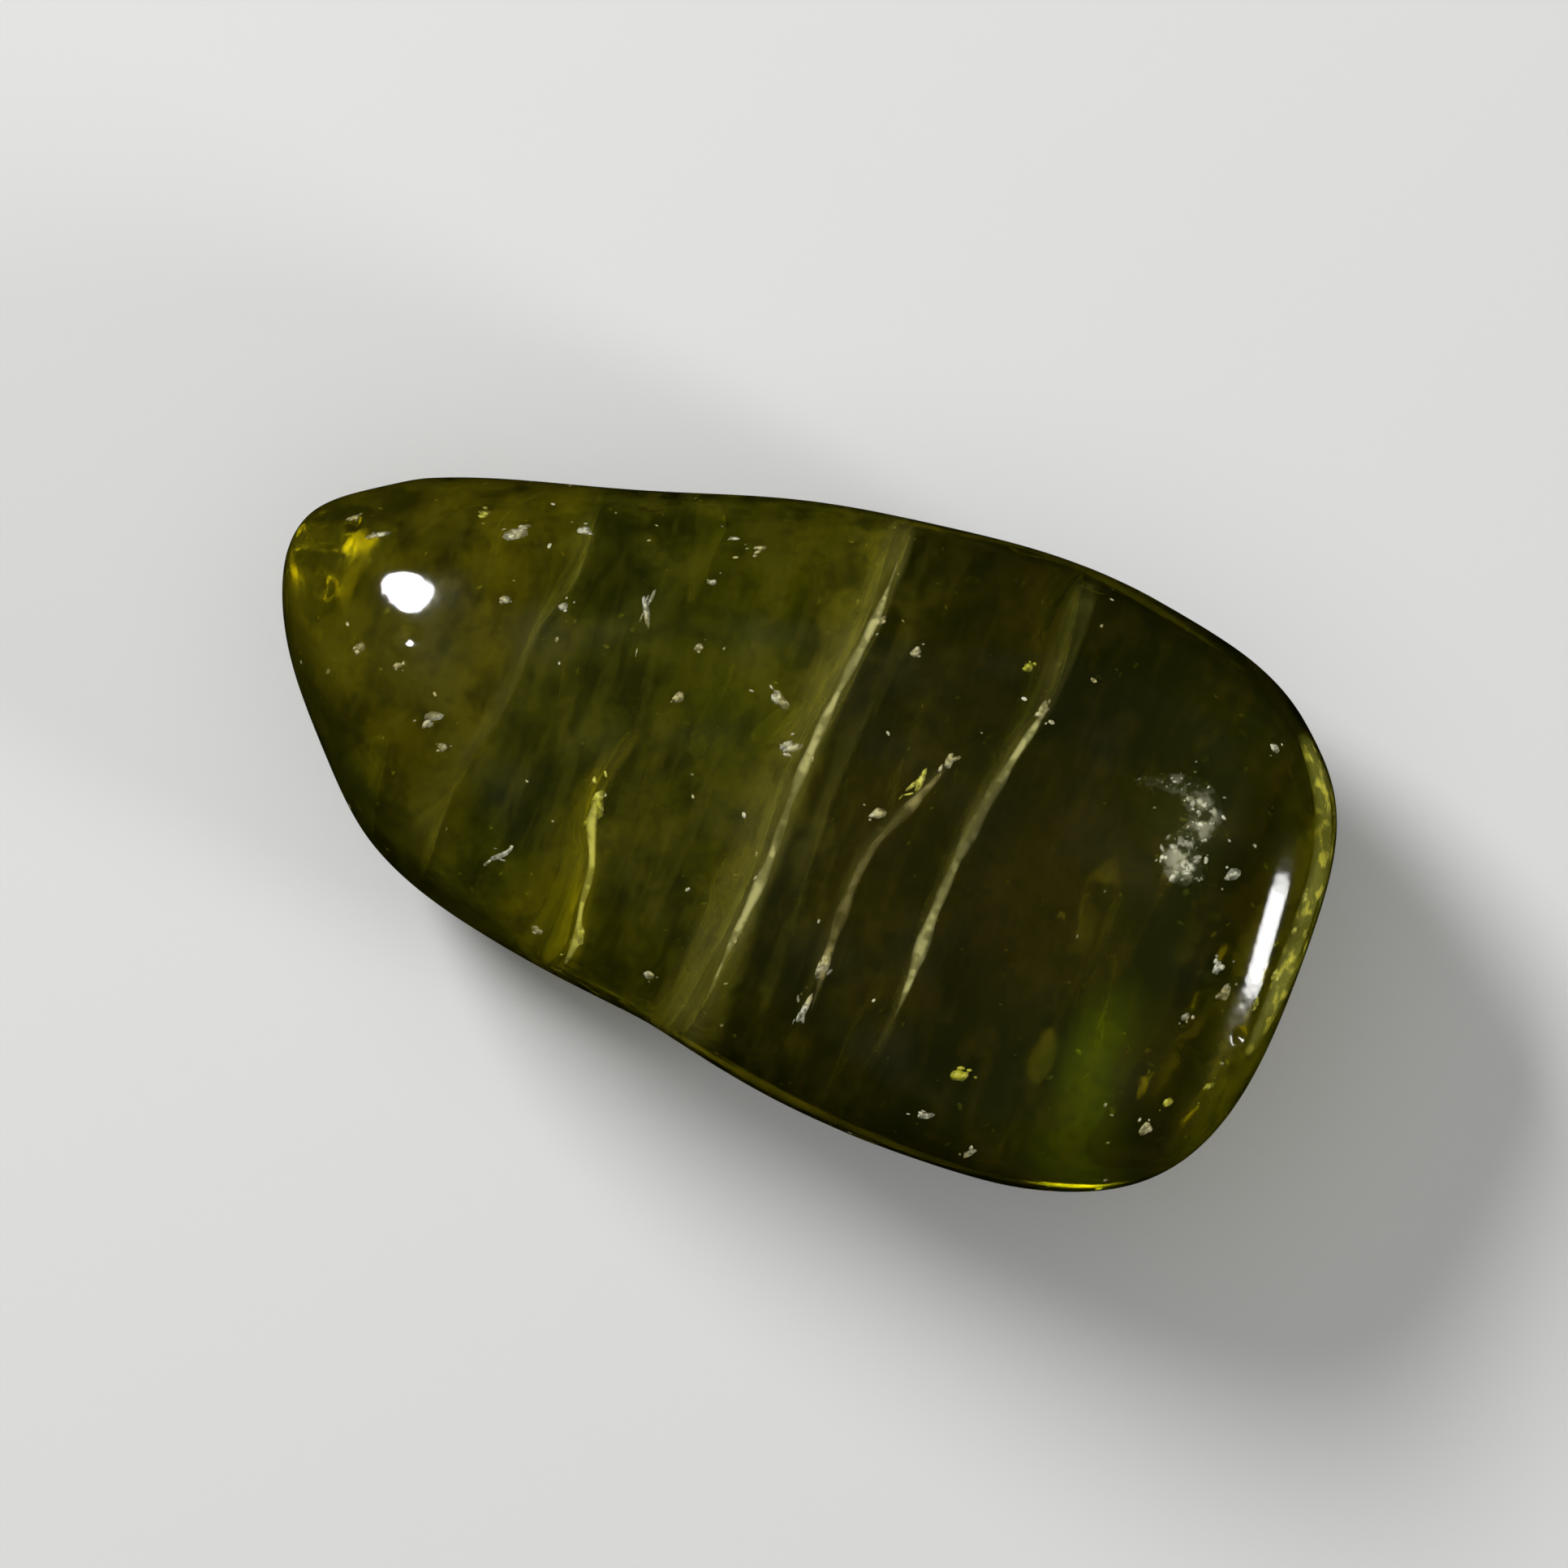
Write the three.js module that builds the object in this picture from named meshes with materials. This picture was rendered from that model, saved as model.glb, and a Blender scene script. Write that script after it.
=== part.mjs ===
// A tumbled olive-green tourmaline: a short, thick length of one crystal, worn smooth on every side.
// Units are millimetres. +X is the long axis, from the narrow tip to the blunt end, and +Z is up.
// The origin is at the middle of the underside's bounding box, and the stone rests on a small flat of its
// underside, at z = 0.
import * as THREE from 'three';
import { mergeVertices } from 'three/addons/utils/BufferGeometryUtils.js';

// Overall size. The stone's triangles are spread in these proportions.
const LENGTH = 26.8;
const WIDTH = 15.0;
const THICKNESS = 10.9;

// The worn faces meet around HEART. Each face is given by the compass bearing of its normal in plan, with 0
// along +X and 90 along +Y, the normal's lean above the level, and its distance from HEART.
const HEART = new THREE.Vector3( -0.2, -0.8, 5.2 );
const FACES = [
	// the sides, in order round the plan
	{ name: 'blunt end', bearing: 2, lean: -2, distance: 14.1 },
	{ name: 'far blunt corner', bearing: 42, lean: 2, distance: 16.0 },
	{ name: 'far side of the blunt half', bearing: 80, lean: 3, distance: 9.4 },
	{ name: 'long far side', bearing: 107, lean: 4, distance: 7.9 },
	{ name: 'far corner of the tip', bearing: 127, lean: 3, distance: 14.9 },
	{ name: 'tip', bearing: 183, lean: -4, distance: 15.1 },
	{ name: 'near corner of the tip', bearing: 225, lean: 2, distance: 9.5 },
	{ name: 'long near side', bearing: 261, lean: 2, distance: 6.2 },
	{ name: 'near side of the blunt half', bearing: 280, lean: 0, distance: 8.6 },
	{ name: 'near blunt corner', bearing: 319, lean: -2, distance: 13.5 },
	// the polished top and the bevels that lead down from it
	{ name: 'top', bearing: 262, lean: 84, distance: 5.3 },
	{ name: 'top of the tip', bearing: 184, lean: 62, distance: 9.1 },
	{ name: 'top of the blunt end', bearing: 0, lean: 64, distance: 10.8 },
	{ name: 'far bevel', bearing: 108, lean: 48, distance: 7.6 },
	{ name: 'near bevel', bearing: 250, lean: 42, distance: 7.7 },
	// the underside
	{ name: 'rest', bearing: 0, lean: -90, distance: 5.2 },
	{ name: 'under the tip', bearing: 180, lean: -50, distance: 9.6 },
	{ name: 'under the blunt end', bearing: 0, lean: -46, distance: 10.4 },
	{ name: 'far underside', bearing: 97, lean: -42, distance: 7.1 },
	{ name: 'near underside', bearing: 262, lean: -46, distance: 6.5 },
];

// How sharply the worn faces meet: a low number rounds the stone to a pebble, and a high one keeps the
// crystal's edges.
const EDGE_SHARPNESS = 8;

// Long shallow waves that tumbling left all over. Each runs along a direction, with a length and a height.
const WAVES = [
	{ along: [ 1, 0.35, 0.2 ], length: 9.5, height: 0.05, phase: 0.4 },
	{ along: [ -0.4, 1, 0.3 ], length: 6.8, height: 0.05, phase: 1.9 },
	{ along: [ 0.3, -0.5, 1 ], length: 5.6, height: 0.04, phase: 3.1 },
	{ along: [ 0.8, -0.9, 0.5 ], length: 4.1, height: 0.025, phase: 1.5 },
];

// Hollows that the tumbling didn't wear away: chips, growth pits and the dip of the curled scar. Each is
// centred near a point of the surface, with its radius and its depth in the middle.
const HOLLOWS = [
	{ name: 'start of the curled scar', at: [ 9.2, 3.2, 10.2 ], radius: 1.2, depth: 0.16 },
	{ name: 'middle of the curled scar', at: [ 9.9, 2.3, 10.0 ], radius: 1.2, depth: 0.2 },
	{ name: 'end of the curled scar', at: [ 9.8, 1.4, 9.9 ], radius: 1.1, depth: 0.16 },
	{ name: 'chip on the blunt end', at: [ 12.2, -4.3, 5.5 ], radius: 1.9, depth: 0.16 },
	{ name: 'far chip by the tip', at: [ -11.9, 2.7, 5.0 ], radius: 1.8, depth: 0.16 },
	{ name: 'near chip by the tip', at: [ -7.4, -4.9, 6.2 ], radius: 2.2, depth: 0.16 },
	{ name: 'pit on the far bevel', at: [ -4.0, 4.9, 8.4 ], radius: 1.8, depth: 0.12 },
	{ name: 'chip on the near side', at: [ 6.6, -7.0, 5.4 ], radius: 2.1, depth: 0.16 },
	{ name: 'chip on the far side', at: [ 7.9, 6.9, 5.0 ], radius: 2.0, depth: 0.14 },
	{ name: 'near pit underneath', at: [ 3.2, -5.2, 1.2 ], radius: 2.5, depth: 0.25 },
	{ name: 'far pit underneath', at: [ -6.5, 2.9, 1.2 ], radius: 2.1, depth: 0.2 },
];

// The stone stands on a flat where the underside is within this height of its lowest point.
const REST_HEIGHT = 0.09;

// Cuts along each edge of the icosahedron that the stone's triangles come from, and how close two of its
// corners lie on the unit sphere to count as one.
const DETAIL = 20;
const SAME_CORNER = 1e-5;

const degrees = THREE.MathUtils.degToRad;

function faceNormal( { bearing, lean } ) {

	const level = Math.cos( degrees( lean ) );
	return new THREE.Vector3(
		level * Math.cos( degrees( bearing ) ),
		level * Math.sin( degrees( bearing ) ),
		Math.sin( degrees( lean ) ),
	);

}

const wornFaces = FACES.map( ( face ) => ( { normal: faceNormal( face ), distance: face.distance } ) );

// Distance from HEART to the worn surface in one direction: the faces' planes, blended where they meet.
function reach( direction ) {

	let sum = 0;
	for ( const { normal, distance } of wornFaces ) {

		const share = Math.max( 0, normal.dot( direction ) / distance );
		sum += share ** EDGE_SHARPNESS;

	}

	return sum ** ( -1 / EDGE_SHARPNESS );

}

function waveHeight( point ) {

	let height = 0;
	for ( const wave of WAVES ) {

		const along = new THREE.Vector3( ...wave.along ).normalize().dot( point );
		height += wave.height * Math.sin( 2 * Math.PI * along / wave.length + wave.phase );

	}

	return height;

}

// A smooth bell: 1 at the middle, 0 from one radius outwards.
function bell( share ) {

	return share < 1 ? ( 1 - share * share ) ** 2 : 0;

}

function hollowDepth( point ) {

	let depth = 0;
	for ( const hollow of HOLLOWS ) {

		const away = point.distanceTo( new THREE.Vector3( ...hollow.at ) );
		depth += hollow.depth * bell( away / hollow.radius );

	}

	return depth;

}

function wornPoint( direction ) {

	const smooth = direction.clone().multiplyScalar( reach( direction ) ).add( HEART );
	const change = waveHeight( smooth ) - hollowDepth( smooth );
	return smooth.addScaledVector( direction, change );

}

function stoneGeometry() {

	const geometry = evenSphere();
	const position = geometry.getAttribute( 'position' );
	const stretch = new THREE.Vector3( LENGTH, WIDTH, THICKNESS );
	const direction = new THREE.Vector3();
	for ( let i = 0; i < position.count; i ++ ) {

		direction.fromBufferAttribute( position, i ).multiply( stretch ).normalize();
		const point = wornPoint( direction );
		position.setXYZ( i, point.x, point.y, point.z );

	}

	settle( geometry );
	return geometry;

}

// A unit sphere of even triangles with shared corners.
function evenSphere() {

	const sphere = new THREE.IcosahedronGeometry( 1, DETAIL );
	sphere.deleteAttribute( 'normal' );
	sphere.deleteAttribute( 'uv' );
	return mergeVertices( sphere, SAME_CORNER );

}

// Flattens the rest, then moves the stone so that the rest is at z = 0 and the origin is the plan's middle.
function settle( geometry ) {

	geometry.computeBoundingBox();
	const position = geometry.getAttribute( 'position' );
	const restLevel = geometry.boundingBox.min.z + REST_HEIGHT;
	for ( let i = 0; i < position.count; i ++ ) {

		position.setZ( i, Math.max( position.getZ( i ), restLevel ) );

	}

	geometry.computeBoundingBox();
	const { min, max } = geometry.boundingBox;
	geometry.translate( - ( min.x + max.x ) / 2, - ( min.y + max.y ) / 2, - min.z );
	geometry.computeVertexNormals();

}

const tourmaline = new THREE.MeshStandardMaterial( { color: '#34330f', roughness: 0.12, metalness: 0 } );

const stone = new THREE.Mesh( stoneGeometry(), tourmaline );
stone.name = 'tourmaline_crystal';

const tumbledTourmaline = new THREE.Group();
tumbledTourmaline.add( stone );

export default tumbledTourmaline;
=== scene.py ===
# The looks of a tumbled olive-green tourmaline: the clear stone with its worn surface, the healed cracks and flecks
# inside it, the scar near its blunt end, and a plain stage. Lengths in the tables are millimetres in the stone's own
# frame, with +X along the stone from its narrow tip to its blunt end and +Z up. Blender's own units are metres.
import math

import bpy
import numpy as np
from mathutils import Matrix, Vector


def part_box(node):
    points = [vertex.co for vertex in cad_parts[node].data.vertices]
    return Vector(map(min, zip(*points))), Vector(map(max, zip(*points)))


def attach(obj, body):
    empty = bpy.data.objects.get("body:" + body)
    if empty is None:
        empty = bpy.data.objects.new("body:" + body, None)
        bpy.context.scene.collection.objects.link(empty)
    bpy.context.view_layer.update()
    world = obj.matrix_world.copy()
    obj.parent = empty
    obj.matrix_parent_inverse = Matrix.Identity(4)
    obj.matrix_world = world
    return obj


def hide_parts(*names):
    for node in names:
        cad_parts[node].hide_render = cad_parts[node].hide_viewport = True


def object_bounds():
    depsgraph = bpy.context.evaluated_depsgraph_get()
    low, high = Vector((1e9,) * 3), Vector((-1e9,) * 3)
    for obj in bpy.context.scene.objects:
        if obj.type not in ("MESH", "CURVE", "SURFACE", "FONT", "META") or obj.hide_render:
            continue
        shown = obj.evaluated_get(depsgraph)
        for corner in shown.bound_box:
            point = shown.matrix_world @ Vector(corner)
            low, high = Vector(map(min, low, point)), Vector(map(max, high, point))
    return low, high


bl_info = {
    "name": "Tumbled tourmaline",
    "version": (1, 0, 0),
    "blender": (4, 5, 0),
    "location": "3D View > Sidebar > Tourmaline",
    "description": "Builds a tumbled, see-through tourmaline with its cracks, flecks and stage",
    "category": "Object",
}

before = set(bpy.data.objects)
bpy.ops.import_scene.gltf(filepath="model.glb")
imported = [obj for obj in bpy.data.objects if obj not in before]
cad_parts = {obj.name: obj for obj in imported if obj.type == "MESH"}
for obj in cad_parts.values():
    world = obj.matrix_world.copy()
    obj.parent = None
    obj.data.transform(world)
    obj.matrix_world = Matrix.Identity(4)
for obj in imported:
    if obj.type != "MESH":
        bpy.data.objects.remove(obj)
CAD_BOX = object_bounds()
STONE_NODE = "tourmaline_crystal"
BODY = "root"
MM = 0.001

# Worn form: each face's bearing in plan, its lean above the level, both in degrees, and its distance from the heart.
HEART = np.array((-0.2, -0.8, 5.2))
FACES = {
    "blunt end": (2, -2, 14.1),
    "far blunt corner": (42, 2, 16.0),
    "far side of the blunt half": (80, 3, 9.4),
    "long far side": (107, 4, 7.9),
    "far corner of the tip": (127, 3, 14.9),
    "tip": (183, -4, 15.1),
    "near corner of the tip": (225, 2, 9.5),
    "long near side": (261, 2, 6.2),
    "near side of the blunt half": (280, 0, 8.6),
    "near blunt corner": (319, -2, 13.5),
    "top": (262, 84, 5.3),
    "top of the tip": (184, 62, 9.1),
    "top of the blunt end": (0, 64, 10.8),
    "far bevel": (108, 48, 7.6),
    "near bevel": (250, 42, 7.7),
    "rest": (0, -90, 5.2),
    "under the tip": (180, -50, 9.6),
    "under the blunt end": (0, -46, 10.4),
    "far underside": (97, -42, 7.1),
    "near underside": (262, -46, 6.5),
}
EDGE_SHARPNESS = 8
STRETCH = np.array((26.8, 15.0, 10.9))
REST_HEIGHT = 0.09

# Long shallow waves: direction, length, height and phase.
WAVES = (
    ((1, 0.35, 0.2), 9.5, 0.05, 0.4),
    ((-0.4, 1, 0.3), 6.8, 0.05, 1.9),
    ((0.3, -0.5, 1), 5.6, 0.04, 3.1),
    ((0.8, -0.9, 0.5), 4.1, 0.025, 1.5),
)

# Hollows left by the wear: place, radius and depth.
HOLLOWS = {
    "start of the curled scar": ((9.2, 3.2, 10.2), 1.2, 0.16),
    "middle of the curled scar": ((9.9, 2.3, 10.0), 1.2, 0.2),
    "end of the curled scar": ((9.8, 1.4, 9.9), 1.1, 0.16),
    "chip on the blunt end": ((12.2, -4.3, 5.5), 1.9, 0.16),
    "far chip by the tip": ((-11.9, 2.7, 5.0), 1.8, 0.16),
    "near chip by the tip": ((-7.4, -4.9, 6.2), 2.2, 0.16),
    "pit on the far bevel": ((-4.0, 4.9, 8.4), 1.8, 0.12),
    "chip on the near side": ((6.6, -7.0, 5.4), 2.1, 0.16),
    "chip on the far side": ((7.9, 6.9, 5.0), 2.0, 0.14),
    "near pit underneath": ((3.2, -5.2, 1.2), 2.5, 0.25),
    "far pit underneath": ((-6.5, 2.9, 1.2), 2.1, 0.2),
}

# Growth zones along the stone, from the tip: where each colour holds, and which colour it is. The bright rim at the
# blunt end is painted glow.
GROWTH_ZONES = (
    (-13.4, "tip"), (-7.4, "tip"), (-6.7, "green"), (-4.4, "green"), (-3.2, "olive"), (-1.0, "olive"),
    (-0.5, "band"), (0.35, "band"), (0.7, "dusk"), (4.4, "dusk"), (5.4, "dark"), (11.6, "dark"), (12.4, "rim"),
)

# Coloured places inside the zones: middle, radii, colour, and the share of it at the middle.
PATCHES = (
    ((6.8, -0.4, 9.0), (3.0, 4.4, 6.0), "brown", 0.8),
    ((2.2, -0.6, 9.0), (1.8, 4.0, 5.0), "brown", 0.5),
    ((-2.0, -4.6, 8.0), (2.4, 4.0, 6.0), "dark", 1.0),
    ((-5.6, -1.6, 9.0), (1.2, 1.8, 5.0), "dark", 0.5),
    ((-4.6, -4.3, 8.5), (1.2, 2.4, 4.0), "gold", 0.5),
    ((-9.4, 0.2, 9.5), (2.4, 2.4, 3.0), "milk", 0.35),
    ((-7.9, -3.2, 8.5), (0.8, 1.8, 3.0), "milk", 0.4),
    ((-1.6, 2.0, 10.0), (2.2, 3.6, 4.0), "leaf", 0.2),
    ((9.3, 2.5, 10.0), (1.6, 1.3, 3.0), "milk", 0.2),
    ((9.4, -3.6, 8.0), (1.3, 3.0, 5.0), "leaf", 1.0),
    ((9.7, -5.6, 7.0), (1.8, 2.4, 5.0), "leaf", 0.9),
    ((10.9, -3.2, 8.0), (1.4, 2.4, 4.0), "gold", 0.3),
    # The next two places, low under the tip and low under the near side, are painted shade.
    ((-12.2, 1.0, 2.4), (2.8, 4.2, 3.4), "dark", 1.0),
    ((6.5, -6.4, 2.8), (7.5, 2.2, 2.8), "dark", 0.9),
)

# Painted shade on the flank beside the tip, darker beyond a line in plan: a point of the line, and the direction out
# over it.
PAINTED_SHADE_FLANK = dict(through=(-11.3, -1.5), outward=(-0.67, -0.742))

# Cracks inside the stone. outcrop is the line in plan that the crack follows at the top, as (x, y) from the near side to
# the far side. lean is how far it moves along x for each millimetre down, at the near end and at the far end. low and
# high are the heights that it spans. layers and spread are its number of sheets and the step between them. look is
# the material that it takes. glow is the width and the share of its pale edge in the stone's colour, at the near end
# and at the far end. thread is the bright line where it reaches the polish: its width, and its start and stop along y.
# A crack too faint for one of these has None there.
CRACKS = {
    "healed_crack_main": dict(
        outcrop=((-0.1, -7.4), (0.1, -4.4), (0.3, -2.0), (0.3, 0.3), (0.46, 2.4), (0.72, 4.6), (0.74, 7.5)),
        lean=(-0.12, -0.02), low=0.4, high=10.9, layers=2, spread=0.4, look="veil",
        glow=((1.3, 0.7), (0.8, 0.6)), thread=(0.24, -5.6, 6.2),
    ),
    "healed_crack_blunt_half": dict(
        outcrop=((4.4, -5.6), (4.5, -3.6), (4.5, -1.5), (4.7, 0.7), (5.0, 2.4), (5.35, 3.9), (5.4, 7.5)),
        lean=(-0.03, -0.08), low=2.4, high=10.9, layers=1, spread=0.0, look="veil",
        glow=((0.2, 0.3), (0.7, 0.5)), thread=(0.3, -4.4, 4.2),
    ),
    "healed_crack_short": dict(
        outcrop=((2.5, -4.9), (2.4, -2.65), (2.56, -0.7), (3.1, 0.6), (3.67, 1.97)),
        lean=(0.03, -0.04), low=4.0, high=10.9, layers=1, spread=0.0, look="wisp",
        glow=((0.4, 0.2), (0.4, 0.35)), thread=(0.26, -5.0, 1.9),
    ),
    "wisp_middle": dict(
        outcrop=((1.25, -2.8), (1.2, -1.1), (1.2, 1.0), (1.36, 2.8)),
        lean=(0.03, 0.02), low=4.0, high=10.5, layers=1, spread=0.0, look="wisp",
        glow=((0.4, 0.25), (0.4, 0.25)), thread=None,
    ),
    "wisp_blunt_half": dict(
        outcrop=((8.4, -2.6), (8.4, -1.2), (8.5, 0.4)),
        lean=(0.04, 0.02), low=4.6, high=10.2, layers=1, spread=0.0, look="wisp",
        glow=None, thread=None,
    ),
    "wisp_near_side": dict(
        outcrop=((3.6, -6.4), (3.5, -5.0), (3.7, -3.6)),
        lean=(0.04, 0.02), low=3.6, high=9.8, layers=1, spread=0.0, look="wisp",
        glow=None, thread=None,
    ),
    "stained_crack": dict(
        outcrop=((-3.65, -6.6), (-3.45, -5.3), (-3.6, -4.5), (-3.7, -3.5), (-4.1, -2.3), (-4.0, -1.0), (-3.6, 0.2)),
        lean=(-0.06, -0.04), low=3.6, high=10.9, layers=2, spread=0.2, look="stain",
        glow=((1.1, 0.95), (0.5, 0.5)), thread=(0.2, -6.2, -1.4),
    ),
    "growth_seam": dict(
        outcrop=((-7.5, -4.9), (-7.5, -2.5), (-7.1, -0.7), (-6.9, 1.4), (-6.5, 3.0), (-6.6, 4.9)),
        lean=(0.05, 0.03), low=2.0, high=10.6, layers=1, spread=0.0, look="wisp",
        glow=((0.4, 0.2), (0.5, 0.4)), thread=None,
    ),
}

# The bright flecks in the polish that catch the eye, partly mineral specks and partly painted glints where small pits
# catch the light: (x, y) in plan, length and width, and bearing.
BRIGHT_FLECKS_AND_GLINTS = (
    (-12.1, 2.5, 0.45, 0.20, 55),
    (-11.4, 2.3, 0.70, 0.20, 50),
    (-8.2, 3.5, 0.80, 0.40, 55),
    (-6.7, 4.1, 0.40, 0.32, 20),
    (-6.5, 2.2, 0.35, 0.22, 60),
    (-7.9, 1.9, 0.30, 0.24, 30),
    (-10.8, -0.4, 0.34, 0.28, 30),
    (-8.6, -1.4, 0.60, 0.32, 55),
    (-9.8, -0.5, 0.30, 0.20, 60),
    (-8.1, -2.0, 0.30, 0.22, 60),
    (-4.6, 2.8, 1.10, 0.20, 95),
    (-3.2, 5.2, 0.30, 0.22, 10),
    (-2.5, 5.2, 0.42, 0.24, 50),
    (-3.3, 4.0, 0.24, 0.18, 40),
    (-3.1, 2.4, 0.28, 0.20, 70),
    (-3.1, 1.1, 0.34, 0.24, 70),
    (-0.8, 1.9, 0.70, 0.30, 165),
    (-0.1, 0.9, 0.75, 0.30, 30),
    (-5.9, -4.0, 0.70, 0.20, 40),
    (-1.5, -5.5, 0.34, 0.24, 50),
    (-4.4, -5.4, 0.34, 0.26, 0),
    (0.8, 4.5, 0.40, 0.24, 75),
    (1.9, 4.1, 0.36, 0.22, 60),
    (3.6, 1.9, 0.60, 0.28, 62),
    (2.4, 0.1, 0.40, 0.30, 40),
    (5.3, 3.8, 0.50, 0.28, 70),
    (2.4, -3.85, 1.00, 0.38, 92),
    (2.35, -4.9, 0.90, 0.16, 82),
    (11.0, 1.7, 0.40, 0.30, 40),
    (10.9, 4.9, 0.30, 0.22, 0),
    (11.4, -0.6, 0.40, 0.26, 75),
    (11.8, -1.1, 0.50, 0.30, 70),
    (11.1, -2.0, 0.30, 0.22, 60),
    (11.1, -4.9, 0.45, 0.34, 100),
    (6.0, -6.4, 0.50, 0.20, 20),
    (7.3, -6.9, 0.50, 0.18, 75),
)

# Yellow flecks, given as the bright ones are. The first seven rows, along the blunt rim, are painted glints of light
# caught in the rim; the others are the stone's own yellow marks.
YELLOW_FLECKS_AND_GLINTS = (
    (12.9, 1.7, 0.60, 0.40, 100),
    (12.9, 0.9, 0.30, 0.20, 80),
    (12.9, -0.3, 0.70, 0.34, 90),
    (12.6, -1.1, 0.30, 0.20, 70),
    (12.6, 4.0, 0.50, 0.25, 110),
    (11.4, -4.1, 0.30, 0.20, 60),
    (12.2, -3.4, 0.40, 0.16, 60),
    (-4.1, -2.0, 0.95, 0.40, 95),
    (-3.4, -5.1, 0.80, 0.22, 80),
    (-9.1, 3.7, 0.45, 0.30, 0),
    (3.1, 1.2, 0.90, 0.20, 62),
    (6.4, -5.2, 0.50, 0.36, 40),
    (4.6, 4.7, 0.30, 0.24, 0),
)

# The painted glow of light through the blunt rim, a bright yellow-olive edge: its line in plan, with its width at each
# point.
PAINTED_RIM_GLOW_LINE = (
    (11.4, 5.5, 0.3), (12.1, 4.7, 0.5), (12.65, 3.8, 0.6), (12.95, 2.6, 0.55), (13.05, 1.4, 0.6),
    (13.05, 0.0, 0.6), (12.98, -1.2, 0.45), (12.85, -2.4, 0.25),
)

# The curled scar near the blunt end: its line in plan, with the width of its crumbs at each point.
SCAR = (
    (7.9, 3.0, 0.15), (8.5, 3.15, 0.3), (9.1, 3.25, 0.5), (9.6, 3.1, 0.7), (9.9, 2.7, 0.7),
    (9.8, 2.3, 0.55), (9.6, 1.95, 0.6), (9.7, 1.6, 0.9), (9.95, 1.4, 0.8), (10.3, 1.35, 0.2),
)

# The reflections of the key light and the strip light in the top: their middles in plan, their lengths along X and Y,
# their turn, the radiance of their light, and the number of lights in the row that gives each.
KEY_GLINT = dict(at=(-10.3, 1.3), size=(1.2, 0.95), turn=0.0, radiance=30.0, pieces=1)
STRIP_GLINT = dict(at=(12.3, 0.52), size=(0.44, 3.2), turn=4.6, radiance=12.0, pieces=6)

# The photograph is taken from straight above, with +X turned this far below the picture's right.
PHOTO_TURN = 20.0


def unit(vectors):
    """The vectors, each at length 1."""
    return vectors / np.linalg.norm(vectors, axis=-1, keepdims=True)


def bell(share):
    """A smooth hump: 1 at the middle, and 0 from one radius outwards."""
    return np.where(share < 1, (1 - np.minimum(share, 1) ** 2) ** 2, 0)


class WornForm:
    """The stone's worn surface, as a distance from its heart in every direction."""

    def __init__(self):
        table = np.radians(np.array([face[:2] for face in FACES.values()], float))
        level = np.cos(table[:, 1])
        self.normals = np.stack(
            (level * np.cos(table[:, 0]), level * np.sin(table[:, 0]), np.sin(table[:, 1])), axis=1
        )
        self.distances = np.array([face[2] for face in FACES.values()])
        self.heart = HEART.copy()
        self.settle()

    def reach(self, directions):
        """Distance from the heart to the smooth worn surface."""
        share = np.maximum(0, directions @ self.normals.T / self.distances)
        return (share**EDGE_SHARPNESS).sum(axis=1) ** (-1 / EDGE_SHARPNESS)

    def surface(self, directions):
        """Points of the worn surface, before the stone is set down."""
        smooth = HEART + directions * self.reach(directions)[:, None]
        change = np.zeros(len(smooth))
        for along, length, height, phase in WAVES:
            change += height * np.sin(2 * np.pi * (smooth @ unit(np.array(along))) / length + phase)
        for place, radius, depth in HOLLOWS.values():
            change -= depth * bell(np.linalg.norm(smooth - np.array(place), axis=1) / radius)
        return smooth + directions * change[:, None]

    def settle(self):
        """Finds the move that sets the stone down where its solid stands."""
        points = self.surface(spread_directions(SETTLE_CUTS)[0])
        low, high = (np.array(corner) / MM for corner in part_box(STONE_NODE))
        middle = (points.min(axis=0) + points.max(axis=0)) / 2
        self.move = (low + high) / 2 - middle
        self.move[2] = -points[:, 2].min() - REST_HEIGHT
        self.heart = HEART + self.move

    def depth(self, points):
        """How far the points lie below the surface, measured towards the heart."""
        away = points - self.heart
        directions = unit(away)
        return np.linalg.norm(self.surface(directions) - HEART, axis=1) - np.linalg.norm(away, axis=1)

    def top_at(self, x, y, below=0.0):
        """The height of the top over points of the plan, or of the points this far below the surface."""
        x, y, below = np.broadcast_arrays(x, y, below)
        low = np.full(x.shape, self.heart[2])
        high = low + STRETCH[2]
        for _ in range(TOP_HALVINGS):
            middle = (low + high) / 2
            depth = self.depth(np.stack((x, y, middle), axis=-1).reshape(-1, 3)).reshape(x.shape)
            low = np.where(depth > below, middle, low)
            high = np.where(depth > below, high, middle)
        return low

    def normal_at(self, point):
        """The surface's outward normal near a point."""
        steps = np.eye(3) * NORMAL_STEP
        slope = [self.depth(np.array((point - s, point + s))) for s in steps]
        return unit(np.array([before - after for before, after in slope]))


SETTLE_CUTS = 40
TOP_HALVINGS = 24
NORMAL_STEP = 0.25


def spread_directions(cuts):
    """Unit directions spread evenly in the stone's proportions, and the quads that join them: a cube's grid, blown up."""
    corners, quads = [], []
    line = np.arange(cuts + 1)
    first, second = (grid.ravel() for grid in np.meshgrid(line, line, indexing="ij"))
    square = (line[:-1, None] * (cuts + 1) + line[None, :-1]).ravel()
    ring = np.stack((square, square + cuts + 1, square + cuts + 2, square + 1), axis=1)
    for axis in range(3):
        for end in (0, cuts):
            corner = np.empty((len(first), 3), int)
            corner[:, axis] = end
            corner[:, (axis + 1) % 3] = first
            corner[:, (axis + 2) % 3] = second
            quads.append((ring if end else ring[:, ::-1]) + len(first) * len(corners))
            corners.append(corner)
    shared, place = np.unique(np.concatenate(corners), axis=0, return_inverse=True)
    even = np.tan((shared / cuts * 2 - 1) * math.pi / 4)
    return unit(unit(even) * STRETCH), place.ravel()[np.concatenate(quads)]


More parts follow.
